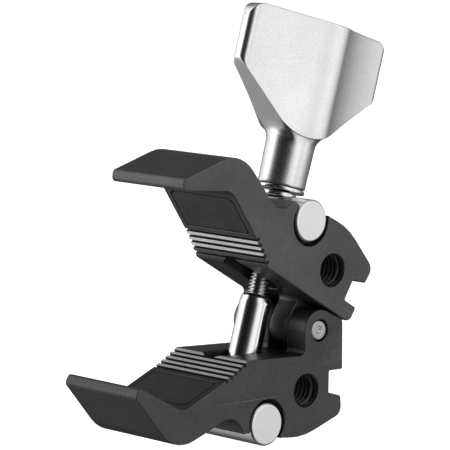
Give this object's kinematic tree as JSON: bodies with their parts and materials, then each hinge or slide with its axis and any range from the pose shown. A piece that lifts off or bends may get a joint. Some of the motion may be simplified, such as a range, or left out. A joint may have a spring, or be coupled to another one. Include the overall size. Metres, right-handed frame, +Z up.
{
  "type": "super clamp",
  "caption": "Two-jaw super clamp with grooved V mouth, rubber pads, threaded sockets and a wing knob on a sleeve-and-screw closer.",
  "frame": {"origin": "middle of the bounding box's bottom face, under the lower jaw", "axes": "+Z up along the lower jaw's rear face, +X from the mouth towards the hinge, Y along the hinge pin"},
  "size_m": [0.1068, 0.0304, 0.1238],
  "materials": {
    "jaw": "bead-blasted, black anodised aluminium",
    "pad": "matt black rubber sheet",
    "pin": "turned steel with a centre mark",
    "trunnion": "turned stainless steel, faced ends",
    "polished_steel": "polished steel",
    "screw_thread": "rolled thread, bright",
    "knob": "satin bead-blasted aluminium, clear anodised",
    "bush": "plain bronze",
    "nylon": "natural nylon",
    "black_steel": "black oxide steel"
  },
  "bodies": {
    "lower_half": {"lower_jaw": "jaw", "lower_grip_pad": "pad", "lower_beak_pad": "pad", "hinge_pin": "pin", "hinge_set_screw": "black_steel"},
    "upper_half": {"upper_jaw": "jaw", "upper_grip_pad": "pad", "upper_beak_pad": "pad", "hinge_bush_inner": "bush", "hinge_bush_outer": "bush"},
    "sleeve_swivel": {"lower_trunnion": "trunnion", "screw_sleeve": "polished_steel", "sleeve_lock_pin": "black_steel"},
    "screw_swivel": {"upper_trunnion": "trunnion", "knob_neck": "polished_steel", "thrust_washer": "polished_steel", "retaining_washer": "polished_steel"},
    "knob": {"wing_knob": "knob", "clamp_screw": "screw_thread", "knob_lock_pin": "black_steel", "friction_washer": "nylon", "retaining_ring": "black_steel"}
  },
  "joints": [
    {"name": "jaw_hinge", "type": "hinge", "parent": "lower_half", "child": "upper_half", "pos_m": [0.01652, 0, 0.03045], "axis": [0, -1, 0], "range_deg": [0, 45]},
    {"name": "sleeve_pivot", "type": "hinge", "parent": "lower_half", "child": "sleeve_swivel", "pos_m": [-0.00459, 0, 0.0061], "axis": [0, -1, 0], "range_deg": [0, 22.5]},
    {"name": "screw_pivot", "type": "hinge", "parent": "upper_half", "child": "screw_swivel", "pos_m": [0.01281, 0, 0.06245], "axis": [0, 1, 0], "range_deg": [0, 22.5]},
    {"name": "knob_spin", "type": "hinge", "parent": "screw_swivel", "child": "knob", "pos_m": [0.01281, 0, 0.06245], "axis": [-0.2949, 0, -0.9555], "range_deg": [0, 5364]}
  ],
  "couplings": [
    {"joint": "jaw_hinge", "follows": "knob_spin", "ratio": 0.0083892},
    {"joint": "sleeve_pivot", "follows": "knob_spin", "ratio": 0.0041946},
    {"joint": "screw_pivot", "follows": "knob_spin", "ratio": 0.0041946}
  ]
}
